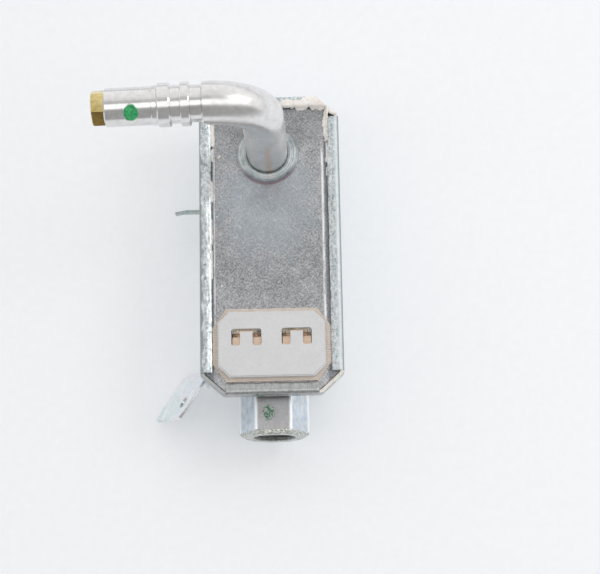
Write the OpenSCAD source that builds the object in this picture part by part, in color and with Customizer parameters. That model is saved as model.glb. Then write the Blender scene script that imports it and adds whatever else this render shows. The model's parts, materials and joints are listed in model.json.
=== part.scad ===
// Electric gas safety valve for an oven burner.
// A crimped steel can lies on its back. Gas comes in through the hexagonal fitting at -Y, and leaves
// through the bent tube on the cover. A heated bimetal blade inside pulls a rubber disc off its seat.
// Origin: centre of the can's flat back. +Z out of the cover, +Y towards the outlet end.

/* [Can] */
// Width over the crimped flange
body_w = 44; // [43:0.5:46]
// Length over the crimped flange
body_l = 95.5; // [94:0.5:100]
// Height from the flat back to the top of the crimp
body_h = 28; // [27.5:0.5:29]
// Thickness of the can's sheet steel
sheet = 1.2; // [1:0.1:1.4]
// Length of a corner cut along X
corner_x = 7; // [6:0.5:8]
// Length of a corner cut along Y
corner_y = 6.3; // [5.5:0.1:7]
// Step out from the lower can to the flange
flange_step = 1.2; // [1:0.1:1.4]
// How far the inlet end's wall stands in from the flange's edge
end_step = 4.8; // [4.6:0.1:5]
// How far the lower can's corner cuts stand in from the flange's
corner_step = 3.6; // [3.4:0.1:3.8]
// Width of the flaps that are folded in over the cover
hem_w = 3.8; // [3.4:0.1:4.2]
// Outer radius of the can's folded edges
fold_r = 1.6; // [1.3:0.1:2]

/* [Cover] */
// Thickness of the cover plate
cover_t = 1.5; // [1.2:0.1:1.6]
// Depth of the cover's face below the top of the crimp
cover_sunk = 1.5; // [1.5:0.1:1.6]

/* [Inlet] */
// Size across the flats of the inlet hexagon
hex_af = 18.8; // [18:0.1:19.5]
// Height of the inlet axis above the back
inlet_z = 13; // [12:0.5:13.5]
// Distance from the middle of the can to the inlet's end face
inlet_end = 58.9; // [57:0.1:60]
// Radius of the inlet bore that takes the pipe thread
inlet_bore_r = 5.8; // [5.5:0.1:6]
// Length of the inlet bore
inlet_bore_l = 11; // [10:0.5:12]

/* [Outlet] */
// Distance of the outlet axis from the centreline
outlet_x = -0.5; // [-1:0.1:1]
// Distance of the outlet axis from the middle of the can
outlet_y = 29; // [27:0.5:30]
// Outside diameter of the outlet tube
tube_d = 12.7; // [12:0.1:13]
// Radius of the bend at the tube's centreline
bend_r = 16; // [14:0.5:18]
// Height of the level leg above the cover
leg_h = 51; // [46:1:55]
// Distance from the riser to the tube's end
leg_l = 44.6; // [44:0.1:46]
// Turn of the level leg away from square
leg_turn = 1.6; // [0:0.1:3]
// Outside diameter of the tube's plain end
tube_end_d = 11.2; // [11:0.1:11.4]
// Size across the flats of the orifice spud
spud_af = 9.2; // [9:0.1:9.6]
// Radius of the gas orifice
orifice_r = 0.6; // [0.5:0.05:0.8]

/* [Terminals] */
// Distance between the two terminal slots
slot_pitch = 15.4; // [15:0.1:16]
// Width over the two legs of a slot
slot_w = 9.2; // [9:0.1:9.6]
// Width of one leg of a slot
slot_leg_w = 2.7; // [2.5:0.1:2.9]
// Length of a leg of a slot
slot_l = 5.2; // [5:0.1:5.4]
// Middle of the terminal block along Y
block_y = -32.2; // [-32.5:0.1:-32]

/* [Bracket] */
// Thickness of the bracket's steel
bracket_t = 0.9; // [0.8:0.1:1]
// Direction of the ear's long edges, seen from above
ear_turn = 237; // [230:1:240]
// Lean of the ear away from upright
ear_lean = 27; // [25:1:29]
// Height of the ear's upper edge above the back
ear_top = 18; // [17.5:0.1:18.5]
// Radius of the fixing hole in the ear
ear_hole_r = 2.15; // [2:0.05:2.3]
// Length of the locating prong
prong_l = 10.2; // [8:0.2:11]

/* [Valve arm] */
// Distance of the blade's hinge line from the middle of the can
hinge_y = -31; // [-32:0.5:-30]
// Height of the blade's underside above the back
blade_z = 14; // [13.5:0.1:14.2]
// Width of the bimetal blade
blade_w = 9; // [8:0.5:9]
// Thickness of the bimetal blade
blade_t = 0.8; // [0.7:0.05:0.9]
// Number of turns of heater ribbon
heater_turns = 14; // [8:1:15]

/* [Hidden] */
$fn = 64;
eps = 0.01;          // overlap that keeps joined shapes in one solid
reach = 200;         // long enough to cut right through

can_w = body_w - 2 * flange_step;             // lower can, under the flange
can_l = body_l - 2 * flange_step;
wall_y = can_l / 2;                           // outer face of the outlet end's wall
end_wall_y = body_l / 2 - end_step;           // outer face of the inlet end's wall
wall_x = can_w / 2;                           // outer face of the side walls
cover_top = body_h - cover_sunk;
cover_bottom = cover_top - cover_t;
ledge_z = cover_bottom - sheet;               // underside of the flange
cover_gap = 0.15;                             // clearance round the cover

hex_r = hex_af / sqrt(3);                     // hexagon's corner radius
shank_r = 7.5;                                // inlet shank through the end wall
stake_r = 8.6;                                // lip that is rolled over inside
gas_way_r = 4.5;                              // passage behind the thread

tube_r = tube_d / 2;
tube_bore_r = tube_r - 1;
end_bore_r = 4.25;                            // bore that takes the spud
axis_z = cover_top + leg_h;
collar_r = 9.7;
collar_h = 1.6;
neck_r = 8;                                   // collar's neck through the cover
seat_r = 10.5;
seat_z = 18.9;                                // sealing edge
seat_top = 24.4;
neck_bottom = 22;
seat_bore_r = 5.2;
spud_l = 3.6;
spud_shank_l = 8;

paper_t = 0.6;                                // creped insulating paper
paper_size = [36.6, 23];
paper_cut = [4.2, 5.8];
block_t = 1.9;                                // face of the terminal block
block_size = [33, 20.3];
block_cut = [3.5, 3.4];
boss_size = [28, 12];                         // part of the block inside the can
boss_bottom = 21;
window_gap = 0.2;
block_top = cover_top + paper_t + block_t;
block_low = cover_top + paper_t;
slot_top_y = -27.4;                           // end of the slots nearest the outlet
slot_bar = 1.0;                               // height of the bar that joins the legs
slot_x = [-slot_pitch / 2, slot_pitch / 2];
pocket_z = 22.6;                              // floor of the pocket under a slot

lift_gap = 0.3;                               // room round the blade's root
mica_t = 0.5;
post_top = 9.2;
post_w = 15;
stack_y = [hinge_y - 5, hinge_y + 5];         // clamped length of the stack
blade_end = 35;
rivet_x = 3;
rivet_r = 1.2;
bush_r = 3.2;
upper_mica_z = blade_z + blade_t + lift_gap;
lower_mica_z = blade_z - lift_gap - mica_t;
clamp_t = 1;
comp_t = 0.6;                                 // compensating blade
sleeve_y = [-20, 14];                         // heated length of the blade
sleeve_t = 0.4;
ribbon_t = 0.25;
ribbon_w = 1.2;
disc_top = seat_z - 0.1;                      // room for the rubber's squeeze
disc_r = 7.6;
holder_r = 8.2;
holder_z = 15.5;
holder_t = 0.6;
stud_r = 1;
screw_y = -6;
screw_r = 2;

// Outline of the can, its sides moved in by d and its corner cuts moved in by t
module inset(d, t) {
    slope = sqrt(pow(corner_x, -2) + pow(corner_y, -2));
    x = body_w / 2 - d;
    y = body_l / 2 - d;
    cx = corner_x * (1 + t * slope - d / corner_y) - d;
    cy = corner_y * (1 + t * slope - d / corner_x) - d;
    polygon([[cx - x, -y], [x - cx, -y], [x, cy - y], [x, y - cy],
             [x - cx, y], [cx - x, y], [-x, y - cy], [-x, cy - y]]);
}

// Rectangle with cut corners
module cut_box(size, cut) {
    x = size[0] / 2;
    y = size[1] / 2;
    polygon([[cut[0] - x, -y], [x - cut[0], -y], [x, cut[1] - y], [x, y - cut[1]],
             [x - cut[0], y], [cut[0] - x, y], [-x, y - cut[1]], [-x, cut[1] - y]]);
}

// Flat ring
module ring(outer, inner, height) {
    difference() {
        cylinder(r = outer, h = height);
        translate([0, 0, -1]) cylinder(r = inner, h = height + 2);
    }
}

// Places a shape on the outlet's riser axis
module at_outlet() {
    translate([outlet_x, outlet_y, 0]) children();
}

// Places a shape on the outlet's level leg: +Z runs from the riser to the tube's end
module at_leg() {
    translate([outlet_x, outlet_y, axis_z]) rotate([0, 0, leg_turn]) rotate([0, -90, 0]) children();
}

// Side view of the can's lower box, with rounded lower edges
module round_bottom(half) {
    translate([-half, fold_r]) square([2 * half, body_h]);
    translate([fold_r - half, 0]) square([2 * (half - fold_r), body_h]);
    for (s = [-1, 1]) translate([s * (half - fold_r), fold_r]) circle(fold_r);
}

// Flap folded in over the cover: drawn in X and Z from its outer face, and run along Y
module hem(length) {
    rotate([90, 0, 0]) linear_extrude(length, center = true) {
        translate([-hem_w, body_h - sheet]) square([hem_w - fold_r, sheet]);
        intersection() {
            translate([-fold_r, body_h - fold_r]) circle(fold_r);
            translate([-fold_r, body_h - fold_r]) square(fold_r + 1);
        }
    }
}

module housing_pan() {
    lip_z = body_h - fold_r;                  // where the folds begin
    corner_top = body_h - 0.5;                // bare sheet edge at the corner cuts
    color("lightsteelblue") difference() {
        union() {
            intersection() {
                linear_extrude(ledge_z + eps) inset(flange_step, corner_step);
                rotate([90, 0, 0]) linear_extrude(reach, center = true) round_bottom(wall_x);
                rotate([90, 0, 90]) linear_extrude(reach, center = true)
                    translate([(wall_y - end_wall_y) / 2, 0]) round_bottom((wall_y + end_wall_y) / 2);
            }
            translate([0, 0, ledge_z]) linear_extrude(lip_z - ledge_z) inset(0, 0);
            for (sx = [-1, 1], sy = [-1, 1]) intersection() {
                translate([0, 0, lip_z - eps]) linear_extrude(corner_top - lip_z) inset(0, 0);
                translate([sx * (body_w - corner_x) / 2, sy * (body_l - corner_y) / 2, lip_z])
                    cube([corner_x, corner_y, 10], center = true);
            }
            for (a = [0, 180]) rotate([0, 0, a])
                translate([body_w / 2, 0, 0]) hem(body_l - 2 * corner_y);
            for (a = [90, 270]) rotate([0, 0, a])
                translate([body_l / 2, 0, 0]) hem(body_w - 2 * corner_x);
        }
        translate([0, 0, sheet]) linear_extrude(body_h) intersection() {
            inset(flange_step + sheet, corner_step + sheet);
            translate([-body_w, sheet - end_wall_y]) square([2 * body_w, 2 * body_l]);
        }
        translate([0, 0, cover_bottom]) linear_extrude(body_h - sheet - cover_bottom) inset(sheet, sheet);
        translate([0, 0, cover_bottom]) linear_extrude(body_h) inset(hem_w, sheet);
        translate([0, -end_wall_y, inlet_z]) rotate([90, 0, 0]) cylinder(r = shank_r, h = 6, center = true);
        translate([0, screw_y, 0]) cylinder(r = bush_r, h = 6, center = true);
    }
}

module cover_plate() {
    color("slategray") translate([0, 0, cover_bottom]) linear_extrude(cover_t) difference() {
        inset(sheet + cover_gap, sheet + cover_gap);
        translate([outlet_x, outlet_y]) circle(neck_r + 0.05);
        translate([0, block_y]) square(boss_size + 2 * [window_gap, window_gap], center = true);
    }
}

// Sealant laid in the corner between the cover and the folded flaps, from the outlet end to the paper
module sealant_bead() {
    bead_w = 0.9;
    stop_y = block_y + paper_size[1] / 2 + 0.4;
    color("ivory") translate([0, 0, cover_top]) linear_extrude(0.8) difference() {
        intersection() {
            inset(hem_w, sheet);
            translate([-body_w / 2, stop_y]) square([body_w, body_l]);
        }
        inset(hem_w + bead_w, sheet + bead_w);
    }
}

module inlet_fitting() {
    face_r = hex_af / 2 - 0.3;                // flat end face inside the turned chamfer
    chamfer = (hex_r - face_r) * tan(30);
    mouth = 0.8;
    shank_in = end_wall_y - 3.2;
    color("gainsboro") translate([0, 0, inlet_z]) rotate([90, 0, 0]) difference() {
        union() {
            intersection() {
                translate([0, 0, end_wall_y]) cylinder(r = hex_r, h = inlet_end - end_wall_y, $fn = 6);
                rotate_extrude() polygon([[0, 0], [hex_r + 1, 0],
                    [hex_r + 1, inlet_end - chamfer - tan(30)], [face_r, inlet_end], [0, inlet_end]]);
            }
            translate([0, 0, shank_in]) cylinder(r = shank_r, h = 4);
            translate([0, 0, end_wall_y - sheet - 1]) cylinder(r1 = shank_r, r2 = stake_r, h = 1);
        }
        translate([0, 0, shank_in - 1]) cylinder(r = gas_way_r, h = 20);
        translate([0, 0, inlet_end - inlet_bore_l]) cylinder(r = inlet_bore_r, h = inlet_bore_l + 1);
        translate([0, 0, inlet_end - mouth])
            cylinder(r1 = inlet_bore_r, r2 = inlet_bore_r + 2 * mouth, h = 2 * mouth);
    }
}

module outlet_collar() {
    inner = tube_r + 0.05;
    groove = 0.2;
    color("silver") at_outlet() rotate_extrude() difference() {
        union() {
            translate([inner, neck_bottom]) square([neck_r - inner, cover_top + 1 - neck_bottom]);
            polygon([[inner, cover_top], [collar_r, cover_top], [collar_r, cover_top + 0.5],
                     [collar_r - 0.3, cover_top + 0.8], [collar_r - 1.1, cover_top + collar_h],
                     [inner + 0.5, cover_top + collar_h], [inner, cover_top + collar_h - 0.4]]);
        }
        for (r = [inner + 1 : 0.6 : collar_r - 1.4])
            translate([r, cover_top + collar_h - groove]) square([0.25, 1]);
    }
}

module seat_gasket() {
    color("dimgray") at_outlet() translate([0, 0, seat_top])
        ring(seat_r - 0.2, neck_r + 0.05, cover_bottom - seat_top);
}

// Turned seat that is pressed on the collar's neck; its narrow lower edge meets the rubber disc
module valve_seat() {
    socket_r = neck_r + 0.02;
    color("silver") at_outlet() rotate_extrude()
        polygon([[seat_bore_r, seat_z + 0.4], [seat_bore_r + 0.3, seat_z], [seat_bore_r + 0.8, seat_z],
                 [seat_bore_r + 1.2, seat_z + 0.8], [seat_r - 2, seat_z + 1.6], [seat_r, seat_z + 2],
                 [seat_r, seat_top], [socket_r, seat_top], [socket_r, neck_bottom],
                 [seat_bore_r, neck_bottom]]);
}

// Half section of the tube's formed end: radius and distance from the riser
module leg_section() {
    bead_r = tube_r + 0.05;
    groove_r = tube_r - 0.95;
    neck = tube_r - 0.8;
    end_r = tube_end_d / 2;
    polygon([[0, bend_r], [tube_r, bend_r], [tube_r, bend_r + 0.4], [groove_r, bend_r + 0.9],
             [groove_r, 19.9], [bead_r - 0.2, 20.1], [bead_r, 20.4], [bead_r, 22.5],
             [bead_r - 0.2, 22.8], [neck, 23], [neck, 25.5], [bead_r - 0.2, 25.7],
             [bead_r, 26], [bead_r, 29.1], [bead_r - 0.3, 29.4], [end_r + 0.2, 29.6],
             [end_r + 0.2, 30.8], [end_r, 31.2], [end_r, leg_l - 0.4], [end_r - 0.4, leg_l],
             [0, leg_l]]);
}

// Riser and bend, solid, for the tube's outside and for its bore
module riser_and_bend(r, bottom) {
    translate([outlet_x, outlet_y, 0]) rotate([0, 0, leg_turn]) {
        translate([0, 0, bottom]) cylinder(r = r, h = axis_z - bend_r - bottom);
        translate([-bend_r, 0, axis_z - bend_r]) rotate([90, 0, 0])
            rotate_extrude(angle = 90) translate([bend_r, 0]) circle(r);
    }
}

module outlet_tube() {
    color("silver") difference() {
        union() {
            riser_and_bend(tube_r, neck_bottom + 0.1);
            at_leg() rotate_extrude() leg_section();
        }
        union() {
            riser_and_bend(tube_bore_r, neck_bottom - 1);
            at_leg() rotate_extrude()
                polygon([[0, bend_r], [tube_bore_r, bend_r], [end_bore_r, bend_r + 1.2],
                         [end_bore_r, leg_l + 1], [0, leg_l + 1]]);
        }
    }
}

module orifice_spud() {
    head_r = spud_af / sqrt(3);
    color("goldenrod") at_leg() difference() {
        union() {
            intersection() {
                translate([0, 0, leg_l]) rotate([0, 0, 30]) cylinder(r = head_r, h = spud_l, $fn = 6);
                translate([0, 0, leg_l]) cylinder(r1 = head_r + 1.6, r2 = head_r - 0.4, h = spud_l);
            }
            translate([0, 0, leg_l - spud_shank_l]) cylinder(r = end_bore_r - 0.02, h = spud_shank_l + eps);
        }
        translate([0, 0, leg_l - spud_shank_l - 1]) cylinder(r = orifice_r, h = reach);
        translate([0, 0, leg_l - spud_shank_l - 1]) cylinder(r = 2.6, h = spud_shank_l);
    }
}

module insulating_paper() {
    color("tan") translate([0, block_y, cover_top]) linear_extrude(paper_t) difference() {
        cut_box(paper_size, paper_cut);
        square(boss_size + 2 * [window_gap, window_gap], center = true);
    }
}

// Two legs joined by a narrow bar, as one slot shows in the block's face
module slot_outline() {
    for (s = [-1, 1])
        translate([s * (slot_w - slot_leg_w) / 2, slot_top_y - slot_l / 2])
            square([slot_leg_w, slot_l], center = true);
    translate([-slot_w / 2, slot_top_y - slot_bar]) square([slot_w, slot_bar]);
}

module terminal_block() {
    bevel = 0.4;
    tail_w = 4.4;
    color("whitesmoke") difference() {
        union() {
            translate([0, block_y, block_low]) linear_extrude(block_t - bevel)
                cut_box(block_size, block_cut);
            translate([0, block_y, block_low]) linear_extrude(block_t)
                cut_box(block_size - 2 * [bevel, bevel], block_cut);
            translate([0, block_y, boss_bottom]) linear_extrude(block_low - boss_bottom + eps)
                square(boss_size, center = true);
        }
        for (x = slot_x) translate([x, 0, 0]) {
            translate([0, 0, pocket_z]) linear_extrude(reach) slot_outline();
            translate([-slot_w / 2 - 0.2, slot_top_y - slot_l - 0.2, pocket_z])
                cube([slot_w + 0.4, slot_l + 0.4, block_low + 0.2 - pocket_z]);
            translate([-tail_w / 2, slot_top_y - 2.2, 0]) cube([tail_w, 1, pocket_z + 1]);
        }
    }
}

// Bent contact strip, drawn in Y and Z; its tail goes down through the block
module contact_strip(wide) {
    t = 0.4;
    front = slot_top_y - slot_l;
    mid = slot_top_y - 2.0;
    high = block_low - 0.5;
    low = pocket_z + 0.8;
    translate([wide / 2, 0, 0]) rotate([90, 0, -90]) linear_extrude(wide) {
        translate([-(mid - 0.6), high - t]) square([mid - 0.6 - front, t]);
        translate([-(mid - 0.6) - t, low]) square([t + eps, high - low]);
        translate([-slot_top_y + 0.5, low]) square([slot_top_y - mid + 0.6 - 0.5, t]);
        translate([-slot_top_y + 0.5, low]) square([t, block_top - 0.8 - low]);
    }
}

module terminal(x) {
    color("peru") translate([x, 0, 0]) {
        difference() {
            contact_strip(8.8);
            for (s = [-1, 1]) translate([s * 5.2, slot_top_y, block_low]) cube([4.2, 3, 6], center = true);
        }
        translate([-2, slot_top_y - 1.9, 19]) cube([4, 0.4, pocket_z + 1 - 19]);
    }
}

module terminal_left() {
    terminal(slot_x[0]);
}

module terminal_right() {
    terminal(slot_x[1]);
}

module inner_insulator() {
    color("burlywood") translate([0, block_y, cover_bottom - 0.8]) linear_extrude(0.8) difference() {
        cut_box([36, 19], [4, 4]);             // clears the pan's corners, which corner_step brings in
        square(boss_size + 2 * [window_gap, window_gap], center = true);
    }
}

// Insulated lead from a terminal's tail to the clamp beside the blade's root
module lead(x) {
    r = 0.7;
    bend = 1.6;
    y = slot_top_y - 0.75;
    run_z = upper_mica_z + mica_t + r;
    color("white") translate([x, y, 0]) {
        translate([0, 0, run_z + bend]) cylinder(r = r, h = boss_bottom - 0.2 - run_z - bend);
        translate([0, bend, run_z + bend]) rotate([0, 90, 0]) rotate([0, 0, -90])
            rotate_extrude(angle = 90) translate([bend, 0]) circle(r);
        translate([0, bend, run_z]) rotate([-90, 0, 0]) cylinder(r = r, h = 1.6);
    }
}

module lead_left() {
    lead(slot_x[0] + 1.5);
}

module lead_right() {
    lead(slot_x[1] - 1.5);
}

// Strap on the can's side wall, with a pierced ear at one end and a locating prong at the other
module mounting_bracket() {
    strap_y = [-41, 16];
    strap_z = [3, 14];
    prong_z = 8;
    prong_h = 2.4;
    color("lightsteelblue") difference() {
        union() {
            translate([-wall_x - bracket_t, strap_y[0], strap_z[0]])
                cube([bracket_t, strap_y[1] - strap_y[0], strap_z[1] - strap_z[0]]);
            translate([-wall_x - bracket_t, strap_y[0], strap_z[0]])
                cube([bracket_t, 5.5, ear_top - 0.2 - strap_z[0]]);
            translate([-wall_x - 0.7 * prong_l, strap_y[1] - bracket_t, prong_z])
                cube([0.7 * prong_l, bracket_t, prong_h]);
            translate([-wall_x - 0.7 * prong_l, strap_y[1] - bracket_t, prong_z + 0.3]) rotate([0, 0, 10])
                translate([-0.3 * prong_l, 0, 0]) cube([0.3 * prong_l + 0.1, bracket_t, prong_h - 0.6]);
            translate([-wall_x - 0.7, -40.8, ear_top]) rotate([0, 0, ear_turn])
                rotate([-90 - ear_lean, 0, 0]) ear();
        }
        translate([0, 0, -1]) linear_extrude(reach) inset(flange_step, corner_step);
    }
}

// Flat ear: X along its long edges from the can's corner, Y down its slope
module ear() {
    linear_extrude(bracket_t) difference() {
        polygon([[-2.4, 0], [11.4, 0], [14, 1], [14.6, 2], [17.4, 18.2], [16.8, 19], [1.4, 18.6],
                 [0.4, 17.8], [-1.4, 9.5], [-2.4, 7]]);
        translate([8.8, 4.5]) circle(ear_hole_r);
    }
}

// Steel post on the can's floor that carries the clamped ends of both blades
module blade_post() {
    foot = 6;
    t = 1.2;
    color("lightgray") difference() {
        union() {
            translate([-post_w / 2, stack_y[0], sheet]) cube([post_w, t, post_top - sheet]);
            translate([-post_w / 2, stack_y[0], post_top - t]) cube([post_w, stack_y[1] - stack_y[0], t]);
            translate([-post_w / 2, stack_y[0], sheet]) cube([post_w, stack_y[1] - stack_y[0] + foot, t]);
        }
        rivet_holes(rivet_r + 0.02);
    }
}

module rivet_holes(r) {
    for (s = [-1, 1]) translate([s * rivet_x, hinge_y, post_top - 3]) cylinder(r = r, h = 12);
}

// Flat plate of the clamped stack
module stack_plate(wide, low, thick, hole_r) {
    difference() {
        translate([-wide / 2, stack_y[0], low]) cube([wide, stack_y[1] - stack_y[0], thick]);
        rivet_holes(hole_r);
    }
}

module spacer_block() {
    low = post_top + comp_t;
    color("gray") stack_plate(post_w - 2, low, lower_mica_z - low, rivet_r + 0.02);
}

module compensating_blade() {
    tip_y = 2;
    wide = 8;
    tip_top = blade_z - sleeve_t - ribbon_t - 1.6;
    color("darkkhaki") {
        stack_plate(11, post_top, comp_t, rivet_r + 0.02);
        translate([-wide / 2, stack_y[1] - eps, post_top]) cube([wide, tip_y - stack_y[1], comp_t]);
        translate([-wide / 2, tip_y - comp_t, post_top]) cube([wide, comp_t, tip_top - post_top]);
    }
}

module lower_mica() {
    color("wheat") stack_plate(post_w, lower_mica_z, mica_t, rivet_r + 0.02);
}

module upper_mica() {
    color("wheat") stack_plate(post_w, upper_mica_z, mica_t, rivet_r + 0.02);
}

module clamp_plate() {
    color("gray") stack_plate(10.4, upper_mica_z + mica_t, clamp_t, rivet_r + 0.02);
}

// Two rivets that hold the stack to the post; the heated blade pivots round them in its clearance
module blade_rivets() {
    head_r = 2;
    head_h = 0.8;
    low = post_top - 1.2;
    high = upper_mica_z + mica_t + clamp_t;
    color("darkgray") for (s = [-1, 1]) translate([s * rivet_x, hinge_y, 0]) {
        translate([0, 0, low - head_h]) cylinder(r = head_r, h = head_h);
        translate([0, 0, low - eps]) cylinder(r = rivet_r, h = high - low + 2 * eps);
        translate([0, 0, high]) cylinder(r1 = head_r, r2 = head_r - 0.5, h = head_h);
    }
}

module calibration_bush() {
    color("lightgray") translate([0, screw_y, 0]) difference() {
        union() {
            cylinder(r = bush_r - 0.02, h = 6);
            translate([0, 0, sheet]) cylinder(r = bush_r + 1.6, h = 1);
        }
        translate([0, 0, -1]) cylinder(r = screw_r + 0.05, h = 8);
    }
}

// Set screw that bears on the compensating blade and sets the arm's closing force
module calibration_screw() {
    slot_w = 0.6;
    bottom = 1;
    color("darkgray") translate([0, screw_y, 0]) difference() {
        translate([0, 0, bottom]) cylinder(r = screw_r, h = post_top - 0.05 - bottom);
        translate([-screw_r - 1, -slot_w / 2, 0]) cube([2 * screw_r + 2, slot_w, bottom + 0.8]);
    }
}

module screw_seal() {
    color("ivory") translate([0, screw_y, 0.1]) cylinder(r = screw_r, h = 0.85);
}

// Bimetal strip that bends down when the heater is on
module bimetal_blade() {
    root_w = 11;
    neck_y = stack_y[1] + 2;
    tip_r = blade_w / 2;
    color("darkkhaki") translate([0, 0, blade_z]) linear_extrude(blade_t) difference() {
        union() {
            polygon([[-root_w / 2, stack_y[0]], [root_w / 2, stack_y[0]], [root_w / 2, neck_y],
                     [blade_w / 2, neck_y + 2], [blade_w / 2, blade_end - tip_r],
                     [-blade_w / 2, blade_end - tip_r], [-blade_w / 2, neck_y + 2],
                     [-root_w / 2, neck_y]]);
            translate([0, blade_end - tip_r]) circle(tip_r);
        }
        for (s = [-1, 1]) translate([s * rivet_x, hinge_y]) circle(rivet_r + 0.35);
        translate([outlet_x, outlet_y]) circle(stud_r + 0.02);
    }
}

// Glass-cloth sleeve between the blade and its heater
module heater_sleeve() {
    fit = 0.05;
    inner_w = blade_w + 2 * fit;
    inner_t = blade_t + 2 * fit;
    length = sleeve_y[1] - sleeve_y[0];
    color("white") translate([0, (sleeve_y[0] + sleeve_y[1]) / 2, blade_z + blade_t / 2]) difference() {
        cube([inner_w + 2 * sleeve_t, length, inner_t + 2 * sleeve_t], center = true);
        cube([inner_w, length + 1, inner_t], center = true);
    }
}

// Resistance ribbon wound round the sleeve, straight above and slanting below
module heater_ribbon() {
    half_w = blade_w / 2 + sleeve_t + 0.05;
    out_w = half_w + ribbon_t;
    low = blade_z - sleeve_t - 0.05 - ribbon_t;
    high = blade_z + blade_t + sleeve_t + 0.05;
    pitch = (sleeve_y[1] - sleeve_y[0] - 2 * ribbon_w) / heater_turns;
    color("silver") for (i = [0 : heater_turns - 1]) translate([0, sleeve_y[0] + 0.4 + i * pitch, 0]) {
        translate([-out_w, 0, high]) cube([2 * out_w, ribbon_w, ribbon_t]);
        translate([half_w, 0, low]) cube([ribbon_t, ribbon_w, high + ribbon_t - low]);
        if (i < heater_turns - 1) {
            translate([0, 0, low]) linear_extrude(ribbon_t)
                polygon([[out_w, 0], [out_w, ribbon_w], [-out_w, pitch + ribbon_w], [-out_w, pitch]]);
            translate([-out_w, pitch, low]) cube([ribbon_t, ribbon_w, high + ribbon_t - low]);
        }
    }
}

// Stud in the blade's tip; its upper head holds the disc loosely, so that the disc finds its seat
module disc_stud() {
    head_z = holder_z + holder_t + 0.3;
    color("darkgray") at_outlet() {
        translate([0, 0, blade_z - 0.8]) cylinder(r = 2, h = 0.8);
        translate([0, 0, blade_z - eps]) cylinder(r = stud_r, h = head_z - blade_z + 2 * eps);
        translate([0, 0, head_z]) cylinder(r = 2.4, h = 0.6);
    }
}

module spring_washer() {
    color("silver") at_outlet() translate([0, 0, blade_z + blade_t]) ring(3.4, stud_r + 0.1, 0.3);
}

module disc_holder() {
    color("gainsboro") at_outlet() translate([0, 0, holder_z]) {
        ring(holder_r, stud_r + 0.7, holder_t);
        ring(holder_r, disc_r + 0.05, 2.1);
    }
}

module rubber_disc() {
    bottom = holder_z + holder_t;
    color("darkslategray") at_outlet() difference() {
        translate([0, 0, bottom]) cylinder(r = disc_r, h = disc_top - bottom);
        translate([0, 0, bottom - 1]) cylinder(r = 3, h = 2.3);
    }
}

housing_pan();
cover_plate();
sealant_bead();
inlet_fitting();
outlet_collar();
seat_gasket();
valve_seat();
outlet_tube();
orifice_spud();
insulating_paper();
terminal_block();
terminal_left();
terminal_right();
inner_insulator();
lead_left();
lead_right();
mounting_bracket();
blade_post();
spacer_block();
compensating_blade();
lower_mica();
upper_mica();
clamp_plate();
blade_rivets();
calibration_bush();
calibration_screw();
screw_seal();
bimetal_blade();
heater_sleeve();
heater_ribbon();
disc_stud();
spring_washer();
disc_holder();
rubber_disc();
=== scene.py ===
"""Looks of the oven gas safety valve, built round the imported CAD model. Helpers take millimetres."""

import json
import math

import bmesh
import bpy
import numpy as np
from mathutils import Matrix, Vector, noise

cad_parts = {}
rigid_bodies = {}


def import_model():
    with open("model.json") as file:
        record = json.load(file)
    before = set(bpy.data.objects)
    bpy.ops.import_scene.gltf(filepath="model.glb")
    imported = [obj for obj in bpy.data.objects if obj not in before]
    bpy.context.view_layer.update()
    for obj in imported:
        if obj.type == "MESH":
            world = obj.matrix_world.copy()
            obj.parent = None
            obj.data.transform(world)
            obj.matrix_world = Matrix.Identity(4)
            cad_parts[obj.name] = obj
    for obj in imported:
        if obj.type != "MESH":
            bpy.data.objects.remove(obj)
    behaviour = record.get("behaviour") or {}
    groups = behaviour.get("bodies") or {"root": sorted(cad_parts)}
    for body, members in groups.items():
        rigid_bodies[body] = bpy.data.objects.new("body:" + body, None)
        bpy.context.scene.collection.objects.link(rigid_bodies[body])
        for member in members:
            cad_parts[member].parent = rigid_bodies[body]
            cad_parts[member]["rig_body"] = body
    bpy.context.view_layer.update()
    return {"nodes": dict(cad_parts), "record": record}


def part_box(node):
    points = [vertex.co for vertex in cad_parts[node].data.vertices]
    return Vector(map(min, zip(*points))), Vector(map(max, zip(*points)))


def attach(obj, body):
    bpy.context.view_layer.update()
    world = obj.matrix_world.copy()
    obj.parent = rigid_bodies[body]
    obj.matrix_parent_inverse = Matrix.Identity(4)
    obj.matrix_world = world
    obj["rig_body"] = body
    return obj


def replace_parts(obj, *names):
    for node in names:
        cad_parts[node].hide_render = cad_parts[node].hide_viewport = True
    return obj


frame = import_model()
NODES = frame["nodes"]
MM = 0.001


def box_mm(node):
    """Lowest and highest corner of a CAD node in millimetres."""
    low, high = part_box(node)
    return np.array(low) * 1000, np.array(high) * 1000


RISER_X, RISER_Y = -0.5, 29.0            # axis of the outlet tube's riser
LEG_Z = box_mm("outlet_tube")[1][2] - 6.4                               # height of the level leg's axis
LEG_SLOPE = math.tan(math.radians(1.6))  # the level leg's turn away from square
SPUD_Y = sum(box_mm("orifice_spud")[k][1] for k in (0, 1)) / 2
SPUD_EDGE_Y = SPUD_Y - 2.65              # edge between the spud's top flat and the one facing the inlet
SPUD_END = box_mm("orifice_spud")[0][0] + 0.15 + SPUD_Y * LEG_SLOPE     # plane of its end face, x + slope * y
DAB_X, DAB_Y, DAB_TURN = -37.2, 27.97, -0.68                            # middle of the green dab on the leg
INLET_Z = 13.0                           # height of the inlet's axis
SCREW_Y, SCREW_HOLE_R = -6, 3.15         # calibration screw in the can's back
SHANK_HOLE_R = 7.45                      # inlet's hole in the end wall
CREPE_PITCH = 0.52                       # ridge to ridge on the paper


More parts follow.
